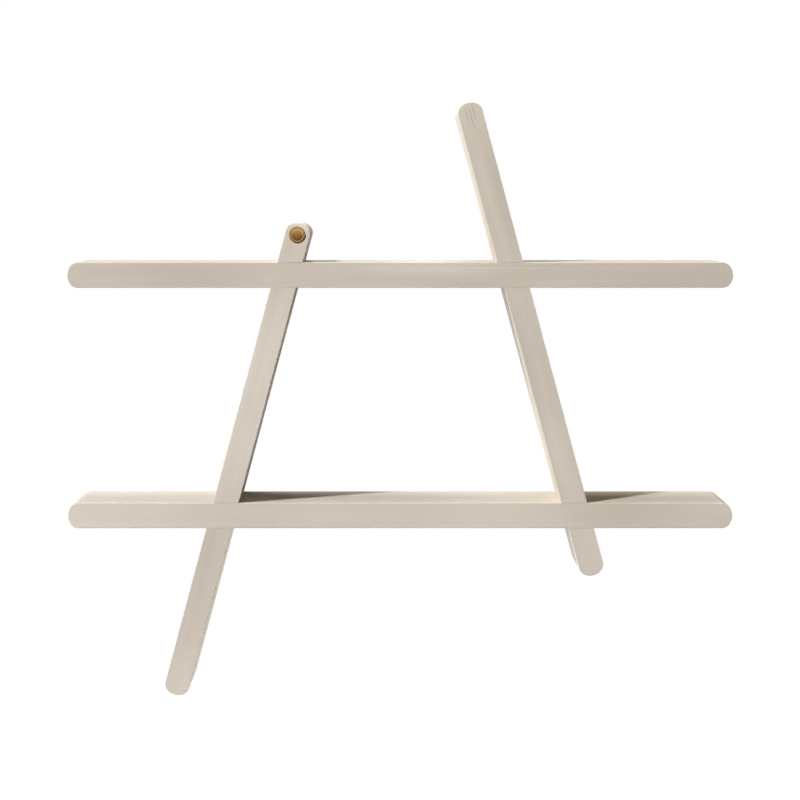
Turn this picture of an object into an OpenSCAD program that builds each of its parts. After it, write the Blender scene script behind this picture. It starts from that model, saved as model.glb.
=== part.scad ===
// Wall shelf: two level boards and two leaning uprights, locked together by halving joints.
// All four boards are one depth and finish flush, front and back. A brass button marks the top
// of the left upright, and two keyhole hangers in the back of the upper shelf carry the whole.
//
// Millimetres, +Z up, +X right, front towards -Y. The wall is the plane y = 0, and the origin
// is the middle of the upper shelf's back edge.

/* [Boards] */
// Depth of all four boards, from the wall to the front edge
board_depth = 100; // [80:1:160]
// Thickness of the two shelves
shelf_thickness = 20; // [18:0.5:22]
// Thickness of the two uprights
upright_thickness = 19.5; // [18:0.5:22]
// Radius of the broad arc at the tip of each rounded end
tip_radius = 12; // [11.5:0.1:15]
// Radius of the shoulders between the tip and the flat faces
shoulder_radius = 7.5; // [5:0.1:8]
// Radius of the eased edges
edge_ease = 0.4; // [0.3:0.1:1.5]

/* [Shelves] */
// Length of each shelf
shelf_length = 525; // [470:1:700]
// Height from the middle of the lower shelf to the middle of the upper one
shelf_spacing = 190; // [150:1:260]

/* [Uprights] */
// Lean of the uprights towards each other, in degrees from the vertical
upright_lean = 15; // [8:0.5:20]
// Distance between the uprights at the upper shelf
crossing_spacing = 179; // [150:1:210]
// How far the left upright reaches above its crossing with the upper shelf
left_top_overhang = 42.5; // [34:0.5:60]
// How far the left upright reaches below its crossing with the lower shelf
left_bottom_overhang = 147; // [40:0.5:220]
// How far the right upright reaches above its crossing with the upper shelf
right_top_overhang = 140.5; // [40:0.5:220]
// How far the right upright reaches below its crossing with the lower shelf
right_bottom_overhang = 49; // [34:0.5:120]

/* [Halving joints] */
// Gap on each side of a board in the slot that it passes through
joint_gap = 0.1; // [0.05:0.05:0.3]

/* [Brass button] */
// Diameter of the button's head
button_diameter = 12.5; // [10:0.1:15]
// Thickness of the head at its rim
button_height = 1.8; // [1.4:0.1:3]
// Depth of the seat that is sunk in the upright's front edge for the head
seat_depth = 1; // [0.5:0.1:1.2]
// Gap round the head in its seat
seat_gap = 0.15; // [0.1:0.05:0.4]
// Width of the raised rim
button_rim = 1.3; // [1:0.1:2.5]
// Depth of the sunken field inside the rim
button_field_depth = 0.5; // [0.2:0.1:0.8]
// Rise of the field's middle above its edge
button_crown = 0.25; // [0.1:0.05:0.4]
// Diameter of the shank in the wood
shank_diameter = 4; // [3:0.5:6]
// Length of the shank behind the head
shank_length = 10; // [6:0.5:16]
// Distance from the tip of the upright to the middle of the button
button_setback = 9.6; // [9:0.1:14]

/* [Keyhole hangers] */
// Distance between the two keyholes
hanger_spacing = 300; // [270:1:360]
// Length of a hanger
hanger_length = 40; // [37:1:50]
// Height of a hanger
hanger_height = 16; // [15:0.1:17]
// Thickness of a hanger
hanger_thickness = 2; // [1.6:0.1:2.5]
// Gap round a hanger in its rebate
hanger_gap = 0.15; // [0.05:0.05:0.4]
// Diameter of the keyhole's round opening
keyhole_diameter = 8; // [7:0.5:9]
// Width of the keyhole's slot
keyhole_slot = 4; // [3.5:0.1:4.5]
// Rise from the middle of the round opening to the middle of the slot's closed end
keyhole_rise = 5.5; // [4.5:0.1:6.5]
// How much wider than the opening the pocket behind a hanger is, on each side
pocket_gap = 0.3; // [0.1:0.1:0.6]
// Depth of the pocket behind a hanger, for the head of the wall screw
pocket_depth = 9; // [6:0.5:14]

/* [Hanger screws] */
// Distance between the two screws of a hanger
screw_spacing = 28; // [26:0.5:30]
// Diameter of a screw's shank
screw_diameter = 3; // [2.5:0.5:3.5]
// Diameter of a screw's countersunk head
screw_head = 5.6; // [5:0.1:6.2]
// Length of a screw
screw_length = 12; // [10:1:20]
// Gap between a screw and its hole
screw_gap = 0.05; // [0.02:0.01:0.1]
// Width of the cross in a screw's head
cross_width = 0.8; // [0.6:0.1:1]

/* [Hidden] */
$fn = 72;
ARC_STEPS = 64;
EASE_STEPS = 16;
CROWN_STEPS = 720;
LEFT = -1;
RIGHT = 1;
// Cuts run on past the face that they open by OVERCUT, and solids that join overlap by OVERLAP.
OVERCUT = 1;
OVERLAP = 0.01;
lap_y = -board_depth / 2;
joint_span = shelf_spacing / cos(upright_lean);
shelf_heights = [0, -shelf_spacing];
button_edge_round = 0.4;
cross_depth = 1;
cross_reach = screw_head / 3;
// The keyhole, from the bottom of its opening to the top of its slot, is centred on its hanger.
keyhole_drop = (keyhole_rise + keyhole_slot / 2 - keyhole_diameter / 2) / 2;

// A rounded end has three arcs that run smoothly into each other. From the middle of the tip,
// `turn_angle` is where the tip arc gives way to the shoulders.
function turn_angle(half) = asin((half - shoulder_radius) / (tip_radius - shoulder_radius));

// A disc about an axis along Y, as deep as the boards, with its rims eased.
module eased_disc(radius) {
    rotate([-90, 0, 0]) rotate_extrude($fn = ARC_STEPS) {
        translate([0, -board_depth]) square([radius - edge_ease, board_depth]);
        translate([0, edge_ease - board_depth]) square([radius, board_depth - 2 * edge_ease]);
        for (y = [edge_ease - board_depth, -edge_ease])
            translate([radius - edge_ease, y]) circle(edge_ease, $fn = EASE_STEPS);
    }
}

// A board along X that is centred on the origin, with rounded ends and eased edges:
// everything between two shoulder discs and a slice of the tip disc at each end.
module board(length, thickness) {
    half = thickness / 2;
    turn = turn_angle(half);
    rise = half - shoulder_radius;
    tip_half = tip_radius * sin(turn);
    straight = length / 2 - tip_radius + (tip_radius - shoulder_radius) * cos(turn);
    hull() for (flip = [0, 1]) mirror([flip, 0, 0]) {
        for (z = [-rise, rise]) translate([straight, 0, z]) eased_disc(shoulder_radius);
        intersection() {
            translate([length / 2 - tip_radius, 0, 0]) eased_disc(tip_radius);
            translate([0, -board_depth, -tip_half]) cube([length, board_depth, 2 * tip_half]);
        }
    }
}

// Turns the X axis to run up an upright, and puts the origin where it crosses the upper shelf.
module along_upright(side) {
    translate([side * crossing_spacing / 2, 0, 0])
        rotate([0, -90 - side * upright_lean, 0]) children();
}

// The square-edged space that a shelf takes up between two depths, grown by `gap`.
module shelf_space(height, y_from, y_to, gap) {
    translate([-shelf_length / 2, y_from, height - shelf_thickness / 2 - gap])
        cube([shelf_length, y_to - y_from, shelf_thickness + 2 * gap]);
}

// The square-edged space that an upright takes up between two depths, grown by `gap`.
// It runs from well below the lower shelf to well above the upper one.
module upright_space(side, y_from, y_to, gap) {
    along_upright(side)
        translate([-2 * joint_span, y_from, -upright_thickness / 2 - gap])
            cube([3 * joint_span, y_to - y_from, upright_thickness + 2 * gap]);
}

// A shelf is whole in front of the lap and slotted behind it. Its front edges stay square
// where the uprights meet them, so that the joints close tight.
module slotted_shelf(height) {
    difference() {
        union() {
            translate([0, 0, height]) board(shelf_length, shelf_thickness);
            for (side = [LEFT, RIGHT]) intersection() {
                shelf_space(height, -board_depth, lap_y, 0);
                upright_space(side, -board_depth, lap_y, 0);
            }
        }
        for (side = [LEFT, RIGHT])
            upright_space(side, lap_y - joint_gap, OVERCUT, joint_gap);
    }
}

// An upright is whole behind the lap and slotted in front of it.
module slotted_upright(side, top_overhang, bottom_overhang) {
    length = top_overhang + joint_span + bottom_overhang;
    difference() {
        union() {
            along_upright(side)
                translate([top_overhang - length / 2, 0, 0]) board(length, upright_thickness);
            for (height = shelf_heights) intersection() {
                upright_space(side, lap_y, 0, 0);
                shelf_space(height, lap_y, 0, 0);
            }
        }
        for (height = shelf_heights)
            shelf_space(height, -board_depth - OVERCUT, lap_y, joint_gap);
    }
}

// A rod of round section that runs into the wood, towards -Y, from the plane y = 0.
module rod(diameter, length) {
    rotate([90, 0, 0]) cylinder(d = diameter, h = length);
}

// The middle of the button, on the front edge of the left upright.
module at_button() {
    along_upright(LEFT)
        translate([left_top_overhang - button_setback, -board_depth, 0]) rotate([90, 0, 0])
            children();
}

// Round seat and hole for the button, seen from its middle with +Z out of the wood.
module button_seat() {
    translate([0, 0, -seat_depth])
        cylinder(d = button_diameter + 2 * seat_gap, h = seat_depth + OVERCUT);
    translate([0, 0, -seat_depth - shank_length - seat_gap])
        cylinder(d = shank_diameter + 2 * screw_gap, h = shank_length + seat_gap + OVERLAP);
}

// A straight-sided outline with round ends.
module obround(length, height) {
    inner = length - height;
    translate([-inner / 2, -height / 2]) square([inner, height]);
    for (side = [LEFT, RIGHT]) translate([side * inner / 2, 0]) circle(d = height);
}

// A keyhole whose round opening is at [0, 0].
module keyhole(opening, slot) {
    circle(d = opening);
    translate([-slot / 2, 0]) square([slot, keyhole_rise]);
    translate([0, keyhole_rise]) circle(d = slot);
}

// Stands an outline on the back edge and runs it into the wood for `depth`.
module sunk(depth, overcut = 0) {
    translate([0, overcut, 0]) rotate([90, 0, 0]) linear_extrude(depth + overcut) children();
}

module at_hanger(side) {
    translate([side * hanger_spacing / 2, 0, 0]) children();
}

module at_hanger_screws() {
    for (side = [LEFT, RIGHT]) translate([side * screw_spacing / 2, 0, 0]) children();
}

// Countersunk head that is flush with y = 0, grown by `gap`.
module screw_cone(gap) {
    cone = (screw_head - screw_diameter) / 2;
    rotate([90, 0, 0])
        cylinder(d1 = screw_head + 2 * gap, d2 = screw_diameter + 2 * gap, h = cone);
}

// Rebate for a hanger, pocket for the wall screw's head, and holes for the hanger's screws.
module hanger_housing() {
    pocket = keyhole_diameter + 2 * pocket_gap;
    sunk(hanger_thickness, OVERCUT)
        obround(hanger_length + 2 * hanger_gap, hanger_height + 2 * hanger_gap);
    sunk(hanger_thickness + pocket_depth) translate([0, -keyhole_drop]) keyhole(pocket, pocket);
    at_hanger_screws() rod(screw_diameter + 2 * screw_gap, screw_length + OVERCUT);
}

module keyhole_hanger(side) {
    color("silver") at_hanger(side) difference() {
        sunk(hanger_thickness) difference() {
            obround(hanger_length, hanger_height);
            translate([0, -keyhole_drop]) keyhole(keyhole_diameter, keyhole_slot);
        }
        at_hanger_screws() {
            screw_cone(screw_gap);
            translate([0, OVERCUT, 0])
                rod(screw_diameter + 2 * screw_gap, hanger_thickness + 2 * OVERCUT);
        }
    }
}

// A countersunk wood screw with a cross in its head.
module hanger_screw() {
    difference() {
        union() {
            screw_cone(0);
            rod(screw_diameter, screw_length);
        }
        for (turn = [0, 90]) rotate([0, turn, 0])
            translate([-cross_reach, -cross_depth, -cross_width / 2])
                cube([2 * cross_reach, cross_depth + OVERCUT, cross_width]);
    }
}

module upper_shelf() {
    color("tan") difference() {
        slotted_shelf(shelf_heights[0]);
        for (side = [LEFT, RIGHT]) at_hanger(side) hanger_housing();
    }
}

module lower_shelf() {
    color("tan") slotted_shelf(shelf_heights[1]);
}

module left_upright() {
    color("tan") difference() {
        slotted_upright(LEFT, left_top_overhang, left_bottom_overhang);
        at_button() button_seat();
    }
}

module right_upright() {
    color("tan") slotted_upright(RIGHT, right_top_overhang, right_bottom_overhang);
}

// Half section of the hollow in the button's face, over a field that rises to a low crown.
module button_hollow() {
    field_radius = button_diameter / 2 - button_rim;
    field_edge = button_height - button_field_depth;
    crown_radius = (field_radius * field_radius + button_crown * button_crown) / (2 * button_crown);
    difference() {
        translate([0, field_edge - OVERCUT])
            square([field_radius, button_field_depth + 2 * OVERCUT]);
        translate([0, field_edge + button_crown - crown_radius])
            circle(crown_radius, $fn = CROWN_STEPS);
    }
}

// Turned in one piece: a head with a raised, round-edged rim, and the shank that holds it.
module brass_button() {
    radius = button_diameter / 2;
    color("goldenrod") at_button() translate([0, 0, -seat_depth]) rotate_extrude() {
        difference() {
            union() {
                square([radius, button_height - button_edge_round]);
                square([radius - button_edge_round, button_height]);
                translate([radius - button_edge_round, button_height - button_edge_round])
                    circle(button_edge_round);
            }
            button_hollow();
        }
        translate([0, -shank_length]) square([shank_diameter / 2, shank_length + OVERLAP]);
    }
}

module hanger_screws() {
    color("gainsboro") for (side = [LEFT, RIGHT])
        at_hanger(side) at_hanger_screws() hanger_screw();
}

upper_shelf();
lower_shelf();
left_upright();
right_upright();
brass_button();
keyhole_hanger(LEFT);  // left_keyhole_hanger
keyhole_hanger(RIGHT);  // right_keyhole_hanger
hanger_screws();
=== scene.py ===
"""The looks of a wall shelf: two level boards and two leaning uprights in pale stained wood,
a turned brass button, two zinc plated keyhole hangers and their screws.

Metres, +Z up, front towards -Y. Lengths given in millimetres are turned into metres by MM.
"""
import math

import bmesh
import bpy
from mathutils import Matrix, Vector


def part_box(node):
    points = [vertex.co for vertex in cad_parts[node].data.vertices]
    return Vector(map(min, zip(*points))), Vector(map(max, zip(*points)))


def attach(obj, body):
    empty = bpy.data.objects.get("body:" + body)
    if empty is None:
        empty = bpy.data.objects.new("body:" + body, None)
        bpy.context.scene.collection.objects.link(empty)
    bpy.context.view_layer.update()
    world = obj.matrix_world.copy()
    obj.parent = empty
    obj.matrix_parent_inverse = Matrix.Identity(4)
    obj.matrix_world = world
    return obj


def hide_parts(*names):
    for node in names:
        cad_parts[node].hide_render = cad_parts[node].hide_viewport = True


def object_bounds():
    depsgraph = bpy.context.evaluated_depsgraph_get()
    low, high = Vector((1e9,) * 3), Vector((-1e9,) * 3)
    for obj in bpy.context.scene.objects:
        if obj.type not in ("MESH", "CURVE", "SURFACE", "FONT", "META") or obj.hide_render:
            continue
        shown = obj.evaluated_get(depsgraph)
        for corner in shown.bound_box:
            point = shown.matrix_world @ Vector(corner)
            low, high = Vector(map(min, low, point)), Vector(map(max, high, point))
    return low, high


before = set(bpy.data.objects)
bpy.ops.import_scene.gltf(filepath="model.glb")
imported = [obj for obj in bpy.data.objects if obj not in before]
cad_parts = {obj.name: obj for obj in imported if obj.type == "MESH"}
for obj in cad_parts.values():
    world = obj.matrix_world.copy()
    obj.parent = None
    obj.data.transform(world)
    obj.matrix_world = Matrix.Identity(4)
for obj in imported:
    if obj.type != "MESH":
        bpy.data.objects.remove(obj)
cad_low, cad_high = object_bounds()

MM = 0.001
BODY = "root"
HANGERS = ("left_keyhole_hanger", "right_keyhole_hanger")

# Broken arrises of the boards and hangers
ARRIS = 0.12 * MM
ARRIS_STEPS = 2
ARRIS_ANGLE = math.radians(50)
WELD = 0.01 * MM
FLAT = math.radians(0.5)

# How far the grain of each board is turned from level, and how far the heart of the tree lies
# behind and below the middle of the board, in millimetres.
LEAN = math.radians(15)
GRAIN_TURN = {
    "upper_shelf": 0,
    "lower_shelf": 0,
    "left_upright": math.pi / 2 - LEAN,
    "right_upright": math.pi / 2 + LEAN,
}
PITH = {
    "upper_shelf": (38, 64),
    "lower_shelf": (-21, 83),
    "left_upright": (12, -71),
    "right_upright": (-44, 58),
}
RING_PITCH = 2.7
RING_WARP = 5.0

# The size along and across the grain, in millimetres, of what varies in the wood.
WANDER_SIZE = (240, 45)
GROWTH_SIZE = (170, 14)
FIBRE_SIZE = (45, 0.55)
STREAK_SIZE = (190, 6.5)
MOTTLE_SIZE = (90, 28)
PORE_SIZE = (7, 0.5)
WEAR_SIZE = (9, 4)

# The values between which a thing in the wood starts to show and shows in full. A facing is how
# squarely a surface looks along the board, out of its edge or out of its broad face.
GROWTH_SHOWN = (0.42, 0.72)
LATE_WOOD = (0.35, 0.95)
EARLY_WOOD = (0.5, 0.25)
PORE_PICKED = (0.45, 0.6)
PORE_RIM = (0.38, 0.16)
WEAR_SHOWN = (0.45, 0.7)
END_FACING = (0.55, 0.95)
BROAD_FACING = (0.90, 0.99)
EASED_FACINGS = ((0.1, 0.4), (0.99, 0.85))

# What the stain, the roughness and the height take from each of those things. Here and below, a
# relief is a strength and a depth.
PLAIN_STAIN = -0.30
STAIN = {"mottle": 0.45, "streak": 0.45, "late": 0.30, "fibre": 0.12, "pore": 0.30, "end": 0.20}
PLAIN_ROUGHNESS = 0.40
ROUGHNESS = {"fibre": 0.12, "pore": 0.20, "end": 0.15}
PLAIN_HEIGHT = 0.5
HEIGHT = {"fibre": 0.25, "late": -0.12, "pore": -0.6}
WOOD_RELIEF = (0.5, 0.06 * MM)
WEAR = 0.15
WOOD_IOR = 1.47
STAIN_LIGHT = (0.676, 0.612, 0.548, 1)
# The dark stain is also the colour that the painted shade on a broad face darkens towards.
DARK_STAIN_AND_SHADE = (0.483, 0.420, 0.358, 1)
WORN_EDGE = (0.740, 0.680, 0.610, 1)

# How much darker a board is: on the whole, from its stain; on one broad face, which is the top of a
# level board and the left of an upright, as painted shade, which darkens the left face of the left
# upright against the strong light from the left; and in lighter and darker patches. Each patch has
# its place from the middle of the board, its reach, both along and across the grain in millimetres,
# and its depth. A narrow patch is a streak.
TONE = {"upper_shelf": 0.18, "lower_shelf": -0.19, "left_upright": -0.10, "right_upright": 0.02}
# Painted shade: the left face of the left upright is drawn darker, against the strong light from
# the left.
PAINTED_FACE_SHADE = {"upper_shelf": 0.0, "lower_shelf": 0.0, "left_upright": 0.85, "right_upright": 0.0}
# Lighter and darker patches along and across each board.
PATCHES = {
    "upper_shelf": (
        (-175, 0, 110, 60, 0.16), (33, 5.5, 90, 10, -0.42), (60, -8, 60, 6, 0.15),
        (230, -4, 90, 20, 0.25), (95, 7.2, 120, 0.8, 0.35),
    ),
    "lower_shelf": (
        (-250, 0, 110, 60, -0.32), (-110, 0, 75, 60, 0.12), (65, 0, 90, 60, -0.25),
        (175, 0, 65, 60, 0.22),
    ),
    "left_upright": (
        (193, 2, 12, 14, -0.75), (150, 0, 60, 60, 0.12), (70, 0, 80, 60, -0.22),
        (0, 0, 60, 60, -0.22), (-70, 0, 55, 60, 0.14), (-190, 0, 60, 60, -0.42),
    ),
    "right_upright": (
        (140, 0, 120, 60, 0.14), (115, -8, 85, 11, 0.42), (-98, 3, 55, 18, -0.28),
        (-185, 0, 90, 60, -0.38), (190, 4, 30, 12, -0.20), (184, 3.2, 13, 0.9, 0.9),
        (181, 0.2, 16, 0.9, 1.0), (186, -2.6, 12, 0.9, 0.8),
    ),
}

# Brass button. Its rim slopes away from a crest near the sunken field.
HEAD_HEIGHT = 1.8 * MM
RIM_WIDTH = 1.3 * MM
RIM_SLOPE = 0.95 * MM
RIM_DROP = 0.42 * MM
FIELD_DEPTH = 0.5 * MM
FIELD_CROWN = 0.25 * MM
SHANK_RADIUS = 2.0 * MM
BUTTON_EDGE = 0.12 * MM
BUTTON_STEPS = 128
TURNED_RINGS = 10
RING_HEIGHT = 0.006 * MM
RING_STEPS = 8
BOSS_RADIUS = 0.8 * MM

# Brass, with its lengths in millimetres. The groove is within the field's edge. Grime fades away
# from the groove and from the field's corner. The darkening that grows towards the brink of the
# head is partly grime and partly painted shade, a dark outline round the button.
GROOVE_INSET = 1.2
GROOVE_SIDE = 0.6
GROOVE_FADE = (0.4, 0.1)
CORNER_FADE = (0.3, 0.1)
BRINK_FADE = (0.75, 0.25)
TURNED_WAVES = 9.0
SPOT_SIZE = (2.0, 2.0)
PLAIN_TARNISH = -0.2
TARNISH = {"inside": 0.48, "spots": 0.45, "turned": 0.25}
GRIME = {"groove": 0.40, "corner": 0.45}
# Partly grime and partly painted shade: how dark the head grows at its brink, a dark outline round
# the button.
BRINK_GRIME_AND_SHADE = 0.80
POLISHED_BRASS = 0.15
BRASS_ROUGHNESS = {"turned": 0.08, "grime": 0.30}
BRASS_RELIEF = (0.3, 0.012 * MM)
BRASS_BRIGHT = (0.90, 0.62, 0.29, 1)
BRASS_TARNISHED = (0.49, 0.21, 0.03, 1)
# The colour of grime, which the painted shade at the brink takes too.
BRASS_GRIME_AND_SHADE = (0.20, 0.11, 0.05, 1)

# Zinc plating, with its sizes in millimetres. A finish is a tone and a roughness.
SCREW_FINISH = (0.68, 0.18)
HANGER_FINISH = (0.66, 0.30)
BLOOM_SIZE = (2.5, 2.5)
SCRATCH_SIZE = (6, 0.12)
BLOOM_SHOWN = (0.35, 0.7)
ZINC_ROUGHNESS = {"bloom": 0.20, "scratches": 0.10}
ZINC_HEIGHT = {"scratches": 0.6, "bloom": 0.4}
ZINC_RELIEF = (0.25, 0.02 * MM)
ZINC_LIGHT = (1.04, 1.05, 1.08)
ZINC_DULL = (0.74, 0.74, 0.72)

# Screws
SCREW_LENGTH = 12 * MM
SCREW_RADIUS = 1.5 * MM
SCREW_STEPS = 32
SCREW_TURNS = (12, 57, 31, 78)
CORE_RADIUS = 1.05 * MM
HEAD_LAND = 0.12 * MM
HEAD_EDGE = 0.05 * MM
THREAD_START = 2.2 * MM
THREAD_PITCH = 1.3 * MM
THREAD_STEPS = 9
THREAD_FLANK = 0.24
POINT_LENGTH = 3.0 * MM
CROSS_REACH = 1.75 * MM
CROSS_WIDTH = 0.55 * MM
CROSS_DEPTH = 1.2 * MM
CROSS_BOTTOM_REACH = 0.45
CROSS_BOTTOM_WIDTH = 0.7

# Studio. A softbox has a place and a width, in metres, a power, in watts, and a colour.
WHITE = (1, 1, 1, 1)
DAYLIGHT = (0.97, 1.0, 1.0)
SKY = (0.73, 0.93, 1.0)
SHADE = (0.38, 0.80, 1.0)
LAMPLIGHT = (1.0, 0.74, 0.32)
IVORY = (0.98, 1.0, 0.92)
SOFTBOXES = {
    "key": ((-2.39, -2.53, 2.79), 0.40, 249, DAYLIGHT),
    "top": ((0.0, 0.2, 2.5), 1.2, 45, DAYLIGHT),
    "left": ((-2.5, 0.0, 0.1), 1.2, 10, SHADE),
    "left_low_back": ((-1.9, 1.4, -0.9), 1.2, 26, SKY),
    "right_high": ((1.9, -0.4, 1.7), 1.2, 9, LAMPLIGHT),
    "right_low": ((2.2, 0.0, -1.2), 1.2, 56, IVORY),
}
# Lamps that no surface mirrors, because a wall stands before them.
BEHIND_WALL = {"key", "top", "left", "right_low"}

# The wall on the left, which lights the shelf from the side. A span is where a wall or a floor
# fades in, as the X, Y or Z of a direction.
SIDE_SPAN = (-0.3, -0.9)
SIDE_STRENGTH = 1.75
SIDE_COLOUR = (1.0, 0.87, 0.72, 1)

# What polished metal mirrors: a bright wall in front of the shelf above a dim warm one, and
# the pale floor behind it.
WALL_SPAN = (-0.14, 0.2)
WALL_LOW = (0.20, 0.12, 0.055, 1)
WALL_HIGH = (0.95, 0.95, 0.92, 1)
FRONT_SPAN = (0.2, -0.5)
MIRRORED_DIM = 0.09
BACK_SPAN = (-0.35, 0.35)
FLOOR_SPAN = (-0.02, -0.2)
MIRRORED_FLOOR = 0.55

# The backdrop and the floor are white behind the shelf and pale grey all round. The floor is
# grey near the shelf too, and white from WHITE_FROM metres back.
ROOM_TONE = 0.70
WHITE_SPAN = (0.90, 0.975)
WHITE_FROM = 7.0
FLOOR_HEIGHT = -2.2
FLOOR_RADIUS = 20.0
FLOOR_STEPS = 96
FLOOR_TONE = (0.01, 0.01, 0.01, 1)

# Camera
CAMERA_PLACE = (-0.0139, -2.6059, 0.0604)
CAMERA_PITCH = math.radians(1.90)
CAMERA_LENS = 143.10
CAMERA_SENSOR = 36
CAMERA_SHIFT = (0.0219, -0.12)
CAMERA_END = 100


class Nodes:
    """Adds shader nodes to a tree and links them as they are made."""

    def __init__(self, tree):
        self.tree = tree
        tree.nodes.clear()

    def add(self, kind, inputs=(), **settings):
        """A node. Each input is a value or the socket that feeds it."""
        node = self.tree.nodes.new("ShaderNode" + kind)
        for name, value in settings.items():
            setattr(node, name, value)
        for name, value in dict(inputs).items():
            if isinstance(value, bpy.types.NodeSocket):
                self.tree.links.new(value, node.inputs[name])
            else:
                node.inputs[name].default_value = value
        return node

    def math(self, operation, *values):
        return self.add("Math", enumerate(values), operation=operation).outputs[0]

    def vector(self, operation, *values):
        return self.add("VectorMath", enumerate(values), operation=operation).outputs[0]

    def length(self, vector):
        return self.add("VectorMath", {0: vector}, operation="LENGTH").outputs["Value"]

    def parts(self, vector):
        """The X, Y and Z of a vector."""
        return self.add("SeparateXYZ", {0: vector}).outputs

    def stretch(self, vector, along, across):
        """Coordinates that repeat once in `along` down the grain and once in `across` over it."""
        return self.vector("MULTIPLY", vector, (1 / along, 1 / across, 1 / across))

    def noise(self, vector, detail=2.0):
        """Noise whose features are about one unit wide. It gives a value and a colour."""
        return self.add("TexNoise", {"Vector": vector, "Scale": 1.0, "Detail": detail}).outputs

    def ramp(self, value, start, end, low=0.0, high=1.0):
        """A smooth step from `low` at `start` to `high` at `end`."""
        inputs = {"Value": value, "From Min": start, "From Max": end, "To Min": low, "To Max": high}
        return self.add("MapRange", inputs, interpolation_type="SMOOTHSTEP").outputs[0]

    def total(self, start, *terms):
        """The sum of `start` and of (weight, value) pairs."""
        result = start
        for weight, value in terms:
            inputs = {0: value, 1: weight, 2: result}
            result = self.add("Math", inputs, operation="MULTIPLY_ADD").outputs[0]
        return result

    def weighed(self, start, weights, **values):
        """The sum of `start` and of each value times the weight of the same name."""
        return self.total(start, *[(weights[name], value) for name, value in values.items()])

    def blend(self, factor, first, second, clamp_factor=True):
        """From the colour `first` at 0 to `second` at 1, and beyond where nothing clamps it."""
        inputs = {0: factor, 6: first, 7: second}
        return self.add("Mix", inputs, data_type="RGBA", clamp_factor=clamp_factor).outputs[2]

    def bump(self, height, strength, distance):
        inputs = {"Height": height, "Strength": strength, "Distance": distance}
        return self.add("Bump", inputs).outputs[0]

    def background(self, colour, strength):
        return self.add("Background", {"Color": colour, "Strength": strength}).outputs[0]

    def finish(self, **inputs):
        """The surface shader and the material's output."""
        values = {name.replace("_", " "): value for name, value in inputs.items()}
        shader = self.add("BsdfPrincipled", values)
        self.add("OutputMaterial", {"Surface": shader.outputs[0]})


def new_material(name):
    material = bpy.data.materials.new(name)
    material.use_nodes = True
    return material, Nodes(material.node_tree)


def grain_space(n, board, middle):
    """Millimetres along the board and across it from the heart of the tree, and the surface's
    normal in the same directions. `middle` is the board's centre."""
    place = n.add("TexCoord").outputs
    turn = GRAIN_TURN[board]
    to_board = Matrix.Rotation(turn, 3, "Y")
    inputs = {
        "Vector": place["Object"],
        "Location": Vector((0, *PITH[board])) - to_board @ middle / MM,
        "Rotation": (0, turn, 0),
        "Scale": (1 / MM, 1 / MM, 1 / MM),
    }
    grain = n.add("Mapping", inputs).outputs[0]
    inputs = {"Vector": place["Normal"], "Rotation": (0, turn, 0)}
    normal = n.add("Mapping", inputs, vector_type="NORMAL").outputs[0]
    return grain, normal


def year_rings(n, grain):
    """How far each year's growth has come, and how much of its dark late wood shows."""
    wander = n.vector("SUBTRACT", n.noise(n.stretch(grain, *WANDER_SIZE))[1], (0.5, 0.5, 0.5))
    bent = n.vector("ADD", grain, n.vector("MULTIPLY", wander, (0, RING_WARP, RING_WARP)))
    radius = n.length(n.vector("MULTIPLY", bent, (0, 1, 1)))
    year = n.math("DIVIDE", radius, RING_PITCH)
    season = n.math("FRACT", year)
    inputs = {"W": n.math("FLOOR", year)}
    growth = n.add("TexWhiteNoise", inputs, noise_dimensions="1D").outputs["Value"]
    shown = n.ramp(n.noise(n.stretch(grain, *GROWTH_SIZE))[0], *GROWTH_SHOWN)
    late = n.math("MULTIPLY", n.ramp(season, *LATE_WOOD), n.math("MULTIPLY", growth, shown))
    return season, late


def open_pores(n, grain, season):
    """Short dark pores in the early wood."""
    cells = n.add("TexVoronoi", {"Vector": n.stretch(grain, *PORE_SIZE), "Scale": 1.0}).outputs
    picked = n.ramp(n.add("SeparateColor", {0: cells["Color"]}).outputs[0], *PORE_PICKED)
    where = n.math("MULTIPLY", picked, n.ramp(season, *EARLY_WOOD))
    return n.math("MULTIPLY", n.ramp(cells["Distance"], *PORE_RIM), where)


def board_patches(n, grain, board):
    """The board's patches, as pairs of a depth and of what the patch covers."""
    patches = []
    for along, across, reach, width, depth in PATCHES[board]:
        from_patch = n.vector("SUBTRACT", grain, (along, 0, PITH[board][1] + across))
        away = n.length(n.vector("MULTIPLY", from_patch, (1 / reach, 0, 1 / width)))
        patches.append((depth, n.ramp(away, 1, 0)))
    return patches


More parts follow.
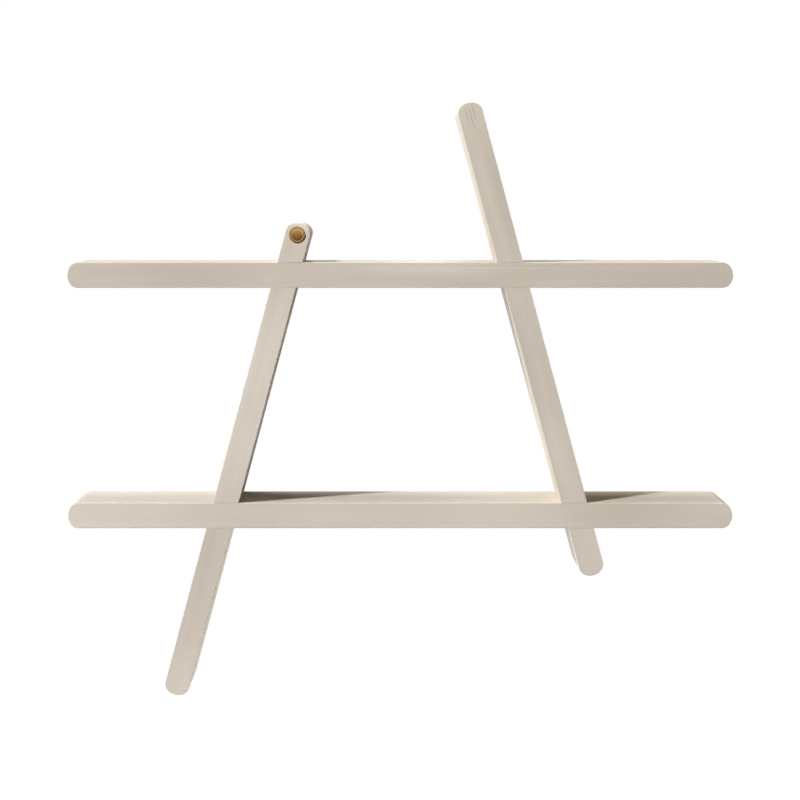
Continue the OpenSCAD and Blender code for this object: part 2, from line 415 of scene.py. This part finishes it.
def wood_material(board, middle):
    """Straight-grained wood under a pale matt stain, as a solid that the board is cut from, with
    painted shade on one broad face of the boards that take it.
    """
    material, n = new_material(f"{board}_wood")
    grain, normal = grain_space(n, board, middle)
    season, late = year_rings(n, grain)
    pore = open_pores(n, grain, season)
    fibre = n.noise(n.stretch(grain, *FIBRE_SIZE), detail=3.0)[0]
    streak = n.noise(n.stretch(grain, *STREAK_SIZE))[0]
    mottle = n.noise(n.stretch(grain, *MOTTLE_SIZE))[0]

    facing = n.parts(n.vector("ABSOLUTE", normal))
    end = n.ramp(facing[0], *END_FACING)
    broad_face = n.ramp(n.parts(normal)[2], *BROAD_FACING)
    eased = n.math("MULTIPLY", *[n.ramp(facing[1], *span) for span in EASED_FACINGS])
    wear = n.ramp(n.noise(n.stretch(grain, *WEAR_SIZE))[0], *WEAR_SHOWN)
    rubbed = n.math("MULTIPLY", eased, wear)

    depth = n.weighed(
        TONE[board] + PLAIN_STAIN, STAIN,
        mottle=mottle, streak=streak, late=late, fibre=fibre, pore=pore, end=end,
    )
    # Adds the painted shade on one broad face and the lighter and darker patches to the stain.
    depth = n.total(depth, (PAINTED_FACE_SHADE[board], broad_face), *board_patches(n, grain, board))
    stain_and_shade = n.blend(depth, STAIN_LIGHT, DARK_STAIN_AND_SHADE, clamp_factor=False)
    colour = n.blend(n.math("MULTIPLY", rubbed, WEAR), stain_and_shade, WORN_EDGE)
    roughness = n.weighed(PLAIN_ROUGHNESS, ROUGHNESS, fibre=fibre, pore=pore, end=end)
    height = n.weighed(PLAIN_HEIGHT, HEIGHT, fibre=fibre, late=late, pore=pore)
    relief = n.bump(height, *WOOD_RELIEF)
    n.finish(Base_Color=colour, Roughness=roughness, Normal=relief, IOR=WOOD_IOR)
    return material


def brass_material(field, head):
    """Turned brass, given the radii of its field and its head in millimetres: bright on the raised
    rim and round the field, tarnished within a turned groove, dark where dirt collects, and darker
    towards the brink of the head, which is partly grime and partly painted shade."""
    material, n = new_material("turned_brass")
    flat = n.vector("MULTIPLY", n.add("TexCoord").outputs["Object"], (1 / MM, 1 / MM, 0))
    radius = n.length(flat)
    across = n.add("CombineXYZ", {0: n.math("MULTIPLY", radius, TURNED_WAVES)}).outputs[0]
    turned = n.noise(across, detail=3.0)[0]
    spots = n.noise(n.stretch(flat, *SPOT_SIZE), detail=4.0)[0]

    groove = field - GROOVE_INSET
    inside = n.ramp(radius, groove + GROOVE_SIDE, groove)
    tarnish = n.weighed(PLAIN_TARNISH, TARNISH, inside=inside, spots=spots, turned=turned)
    clean = n.blend(tarnish, BRASS_BRIGHT, BRASS_TARNISHED)

    in_groove = n.ramp(n.math("ABSOLUTE", n.math("SUBTRACT", radius, groove)), *GROOVE_FADE)
    in_corner = n.ramp(n.math("ABSOLUTE", n.math("SUBTRACT", radius, field)), *CORNER_FADE)
    # Painted shade, partly grime: the head darkens towards its brink, as a dark outline round the
    # button.
    brink = n.ramp(radius, *[head - inset for inset in BRINK_FADE])
    worn_in = n.weighed(0.0, GRIME, groove=in_groove, corner=in_corner)
    grime = n.math("MAXIMUM", worn_in, n.math("MULTIPLY", brink, BRINK_GRIME_AND_SHADE))
    colour = n.blend(grime, clean, BRASS_GRIME_AND_SHADE)
    roughness = n.weighed(POLISHED_BRASS, BRASS_ROUGHNESS, turned=turned, grime=grime)
    relief = n.bump(turned, *BRASS_RELIEF)
    n.finish(Base_Color=colour, Metallic=1.0, Roughness=roughness, Normal=relief)
    return material


def zinc_material(name, tone, polish):
    """Zinc plated steel, with the faint bloom and fine scratches of the plating bath."""
    material, n = new_material(name)
    object_place = n.add("TexCoord").outputs["Object"]
    place = n.vector("MULTIPLY", object_place, (1 / MM, 1 / MM, 1 / MM))
    bloom = n.noise(n.stretch(place, *BLOOM_SIZE), detail=4.0)[0]
    scratches = n.noise(n.stretch(place, *SCRATCH_SIZE))[0]
    light, dull = [(*[tone * part for part in parts], 1) for parts in (ZINC_LIGHT, ZINC_DULL)]
    colour = n.blend(n.ramp(bloom, *BLOOM_SHOWN), light, dull)
    roughness = n.weighed(polish, ZINC_ROUGHNESS, bloom=bloom, scratches=scratches)
    height = n.weighed(0.0, ZINC_HEIGHT, scratches=scratches, bloom=bloom)
    relief = n.bump(height, *ZINC_RELIEF)
    n.finish(Base_Color=colour, Metallic=1.0, Roughness=roughness, Normal=relief)
    return material


def soften(obj):
    """Joins the CAD triangles into flat faces, breaks the sharp arrises and shades the rest
    smooth."""
    weld = obj.modifiers.new("weld", "WELD")
    weld.merge_threshold = WELD
    flats = obj.modifiers.new("flats", "DECIMATE")
    flats.decimate_type = "DISSOLVE"
    flats.angle_limit = FLAT
    bevel = obj.modifiers.new("arris", "BEVEL")
    bevel.limit_method = "ANGLE"
    bevel.angle_limit = ARRIS_ANGLE
    bevel.width = ARRIS
    bevel.segments = ARRIS_STEPS
    normals = obj.modifiers.new("normals", "WEIGHTED_NORMAL")
    normals.keep_sharp = True


def dress(obj, material):
    obj.data.materials.clear()
    obj.data.materials.append(material)


def new_object(name, data):
    """An object in the scene, at the origin."""
    obj = bpy.data.objects.new(name, data)
    bpy.context.scene.collection.objects.link(obj)
    return obj


def new_piece(name, bm, material):
    """A smooth-shaded object from a bmesh."""
    bmesh.ops.recalc_face_normals(bm, faces=bm.faces)
    mesh = bpy.data.meshes.new(name)
    bm.to_mesh(mesh)
    bm.free()
    mesh.shade_smooth()
    obj = new_object(name, mesh)
    dress(obj, material)
    return obj


def turned_solid(profile, steps, radius_at=None):
    """A closed solid about Z from (radius, height) pairs, with the first and last on the axis.

    `radius_at` gives a point's radius from its profile radius, its height and its angle."""
    bm = bmesh.new()
    rings = []
    for radius, height in profile[1:-1]:
        ring = []
        for step in range(steps):
            angle = 2 * math.pi * step / steps
            reach = radius_at(radius, height, angle) if radius_at else radius
            ring.append(bm.verts.new((reach * math.cos(angle), reach * math.sin(angle), height)))
        rings.append(ring)
    for lower, upper in zip(rings, rings[1:]):
        for i in range(steps):
            j = (i + 1) % steps
            bm.faces.new((lower[i], lower[j], upper[j], upper[i]))
    for ring, (_, height) in ((rings[0], profile[0]), (rings[-1], profile[-1])):
        pole = bm.verts.new((0, 0, height))
        for i in range(steps):
            bm.faces.new((ring[i], ring[(i + 1) % steps], pole))
    return bm


def arc(centre, width, start, end, steps, height=None):
    """Points of an arc, in degrees, as (radius, height) pairs: round, or as high as `height`."""
    height = height or width
    angles = [math.radians(start + (end - start) * i / steps) for i in range(steps + 1)]
    return [(centre[0] + width * math.cos(a), centre[1] + height * math.sin(a)) for a in angles]


def crown_at(share):
    """The height of the crowned field, from its middle, where `share` is 0, to its edge, at 1. It
    falls away faster near its edge."""
    return FIELD_CROWN * (1 - 0.5 * share**2 - 0.5 * share**6)


def field_profile(field_edge, base):
    """The field from its edge to its middle: turned rings, and a low boss within them."""
    profile = []
    waves = RING_STEPS * TURNED_RINGS
    for i in range(waves + 1):
        radius = field_edge + (BOSS_RADIUS - field_edge) * i / waves
        ring = RING_HEIGHT * (1 - math.cos(2 * math.pi * i / RING_STEPS)) / 2
        profile.append((radius, base + crown_at(radius / field_edge) + ring))
    for i in range(1, RING_STEPS + 1):
        radius = BOSS_RADIUS * (1 - i / RING_STEPS)
        boss = 2 * RING_HEIGHT * math.sin(math.pi / 2 * i / RING_STEPS)
        profile.append((radius, base + crown_at(radius / field_edge) + boss))
    return profile


def button_profile(head_radius, shank_length):
    """The button from the end of its shank to the middle of its face, with +Z out of the wood."""
    edge = BUTTON_EDGE
    profile = [(0, -shank_length), (SHANK_RADIUS - 2 * edge, -shank_length)]
    profile += [(SHANK_RADIUS, 2 * edge - shank_length), (SHANK_RADIUS, -edge)]
    profile += arc((SHANK_RADIUS + edge, -edge), edge, 180, 90, 3)
    profile += arc((head_radius - edge, edge), edge, -90, 0, 3)
    field_radius = head_radius - RIM_WIDTH
    crest = head_radius - RIM_SLOPE
    inner = crest - field_radius
    base = HEAD_HEIGHT - FIELD_DEPTH
    profile += arc((crest, HEAD_HEIGHT - RIM_DROP), RIM_SLOPE, 0, 90, 12, RIM_DROP)
    profile += arc((crest, HEAD_HEIGHT - inner), inner, 90, 180, 8)[1:]
    profile += arc((field_radius - edge, base + edge), edge, 0, -90, 3)
    return profile + field_profile(field_radius - 2 * edge, base)


def brass_button():
    low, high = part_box("brass_button")
    head_radius = (high.x - low.x) / 2
    shank_length = high.y - low.y - HEAD_HEIGHT
    bm = turned_solid(button_profile(head_radius, shank_length), BUTTON_STEPS)
    brass = brass_material((head_radius - RIM_WIDTH) / MM, head_radius / MM)
    button = new_piece("turned_button", bm, brass)
    face = Vector(((low.x + high.x) / 2, low.y + HEAD_HEIGHT, (low.z + high.z) / 2))
    button.matrix_world = Matrix.Translation(face) @ Matrix.Rotation(math.radians(90), 4, "X")
    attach(button, BODY)
    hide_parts("brass_button")


def screw_profile(head_radius):
    """A countersunk screw from the middle of its head to its point, with +Z out of the wood."""
    cone_height = head_radius - HEAD_LAND - SCREW_RADIUS
    start, end = -HEAD_LAND - cone_height, -SCREW_LENGTH
    profile = [(0, 0), (head_radius * 0.5, 0), (head_radius - HEAD_EDGE, 0)]
    profile += [(head_radius, -HEAD_EDGE), (head_radius, -HEAD_LAND), (SCREW_RADIUS, start)]
    steps = round((start - end) / THREAD_PITCH * THREAD_STEPS)
    profile += [(SCREW_RADIUS, start + (end - start) * i / steps) for i in range(1, steps)]
    return profile + [(0, end)]


def thread_radius(radius, height, angle):
    """Cuts a thread below the head: a crest that winds round a core, and a tapered point."""
    depth = -height
    if radius != SCREW_RADIUS or depth < THREAD_START:
        return radius
    turn = (depth / THREAD_PITCH - angle / (2 * math.pi)) % 1
    crest = max(0.0, 1 - abs(turn - 0.5) / THREAD_FLANK)
    fade = min(1.0, (depth - THREAD_START) / THREAD_PITCH)
    taper = min(1.0, (SCREW_LENGTH - depth) / POINT_LENGTH)
    threaded = CORE_RADIUS * taper + (SCREW_RADIUS - CORE_RADIUS) * crest * math.sqrt(taper)
    return radius + (threaded - radius) * fade


def cross_cutter():
    """The tapered cross that the screwdriver fits, as a solid that reaches out of the head."""
    bm = bmesh.new()
    sides = [(-1, -1), (1, -1), (1, 1), (-1, 1)]
    ends = (
        (-CROSS_DEPTH, CROSS_REACH * CROSS_BOTTOM_REACH, CROSS_WIDTH / 2 * CROSS_BOTTOM_WIDTH),
        (CROSS_DEPTH, CROSS_REACH, CROSS_WIDTH / 2),
    )
    for turn in (0, 90):
        spin = Matrix.Rotation(math.radians(turn), 3, "Z")
        bottom, top = [
            [bm.verts.new(spin @ Vector((x * reach, y * half, height))) for x, y in sides]
            for height, reach, half in ends
        ]
        bm.faces.new(bottom[::-1])
        bm.faces.new(top)
        for i, j in ((0, 1), (1, 2), (2, 3), (3, 0)):
            bm.faces.new((bottom[i], bottom[j], top[j], top[i]))
    return bm


def carve(obj, bm, material):
    """Cuts the solid in `bm` out of the object."""
    cutter = new_piece("cutter", bm, material)
    cut = obj.modifiers.new("cut", "BOOLEAN")
    cut.operation = "DIFFERENCE"
    cut.object = cutter
    cut.use_self = True
    shape = obj.evaluated_get(bpy.context.evaluated_depsgraph_get())
    carved = bpy.data.meshes.new_from_object(shape)
    obj.modifiers.clear()
    obj.data = carved
    bpy.data.objects.remove(cutter)


def hanger_screws():
    """Four screws, each in its own hole of a hanger, with its cross turned its own way."""
    low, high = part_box("hanger_screws")
    head_radius = (high.z - low.z) / 2
    steel = zinc_material("bright_zinc", *SCREW_FINISH)
    bm = turned_solid(screw_profile(head_radius), SCREW_STEPS, thread_radius)
    first = new_piece("hanger_screw_1", bm, steel)
    carve(first, cross_cutter(), steel)
    places = []
    for hanger in HANGERS:
        hanger_low, hanger_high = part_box(hanger)
        middle = (hanger_low.x + hanger_high.x) / 2
        reach = high.x - head_radius - abs(middle)
        places += [middle - reach, middle + reach]
    outward = Matrix.Rotation(math.radians(-90), 4, "X")
    for number, (x, turn) in enumerate(zip(places, SCREW_TURNS), 1):
        screw = first if number == 1 else new_object(f"hanger_screw_{number}", first.data)
        spin = Matrix.Rotation(math.radians(turn), 4, "Z")
        screw.matrix_world = Matrix.Translation((x, 0, 0)) @ outward @ spin
        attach(screw, BODY)
        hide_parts("hanger_screws")


def boards():
    """The four boards, each cut from its own part of the tree."""
    for name in PITH:
        low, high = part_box(name)
        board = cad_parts[name]
        dress(board, wood_material(name, (low + high) / 2))
        soften(board)


def hangers():
    steel = zinc_material("dull_zinc", *HANGER_FINISH)
    for name in HANGERS:
        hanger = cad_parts[name]
        dress(hanger, steel)
        soften(hanger)


def room_tone(n, outward, nearness=0.0):
    """How pale the room is in a direction: white behind the shelf, and pale grey all round and
    where `nearness` is 1."""
    level = n.vector("NORMALIZE", n.vector("MULTIPLY", outward, (1, 1, 0)))
    behind = n.ramp(n.parts(level)["Y"], *WHITE_SPAN)
    white = n.math("MULTIPLY", behind, n.math("SUBTRACT", 1, nearness))
    return n.total(ROOM_TONE, (1 - ROOM_TONE, white))


def studio_floor():
    """A pale floor well below the shelf, which lights nothing."""
    bm = bmesh.new()
    bmesh.ops.create_circle(bm, cap_ends=True, segments=FLOOR_STEPS, radius=FLOOR_RADIUS)
    material, n = new_material("pale_floor")
    place = n.add("TexCoord").outputs["Object"]
    nearness = n.ramp(n.parts(place)["Y"], WHITE_FROM, 0.5 * WHITE_FROM)
    n.finish(
        Base_Color=FLOOR_TONE,
        Specular_IOR_Level=0.0,
        Emission_Color=WHITE,
        Emission_Strength=room_tone(n, place, nearness),
    )
    floor = new_piece("floor", bm, material)
    floor.location.z = FLOOR_HEIGHT
    floor.visible_diffuse = False
    floor.visible_glossy = False


def softboxes():
    """Round lamps, turned towards the middle of the shelf."""
    middle = (cad_low + cad_high) / 2
    for name, (place, width, power, colour) in SOFTBOXES.items():
        lamp = bpy.data.lights.new(name, "AREA")
        lamp.shape = "DISK"
        lamp.size = width
        lamp.energy = power
        lamp.color = colour
        box = new_object(name, lamp)
        box.location = place
        box.rotation_euler = (Vector(place) - middle).to_track_quat("Z", "Y").to_euler()
        box.visible_camera = False
        box.visible_glossy = name not in BEHIND_WALL


def white_room():
    """The walls that light the shelf and show in its metal, and the backdrop that is seen."""
    world = bpy.data.worlds.new("white_room")
    bpy.context.scene.world = world
    world.use_nodes = True
    n = Nodes(world.node_tree)
    outward = n.add("TexCoord").outputs["Generated"]
    direction = n.parts(outward)
    side = n.background(SIDE_COLOUR, n.ramp(direction["X"], *SIDE_SPAN, 0, SIDE_STRENGTH))

    wall = n.blend(n.ramp(direction["Z"], *WALL_SPAN), WALL_LOW, WALL_HIGH)
    front = n.background(wall, n.ramp(direction["Y"], *FRONT_SPAN, MIRRORED_DIM, 1))
    below = n.ramp(direction["Z"], *FLOOR_SPAN, 0, MIRRORED_FLOOR)
    back = n.background(WHITE, n.math("MULTIPLY", below, n.ramp(direction["Y"], *BACK_SPAN)))
    mirrored = n.add("AddShader", {0: front, 1: back}).outputs[0]

    path = n.add("LightPath").outputs
    backdrop = n.background(WHITE, room_tone(n, outward))
    lit = n.add("MixShader", {0: path["Is Glossy Ray"], 1: side, 2: mirrored}).outputs[0]
    seen = n.add("MixShader", {0: path["Is Camera Ray"], 1: lit, 2: backdrop}).outputs[0]
    n.add("OutputWorld", {"Surface": seen})


def camera():
    data = bpy.data.cameras.new("camera")
    data.sensor_width = CAMERA_SENSOR
    data.lens = CAMERA_LENS
    data.shift_x, data.shift_y = CAMERA_SHIFT
    data.clip_end = CAMERA_END
    obj = new_object("camera", data)
    obj.location = CAMERA_PLACE
    obj.rotation_euler = (math.pi / 2 - CAMERA_PITCH, 0, 0)
    bpy.context.scene.camera = obj


boards()
brass_button()
hangers()
hanger_screws()
studio_floor()
softboxes()
white_room()
camera()
bpy.context.scene.view_settings.view_transform = "Standard"
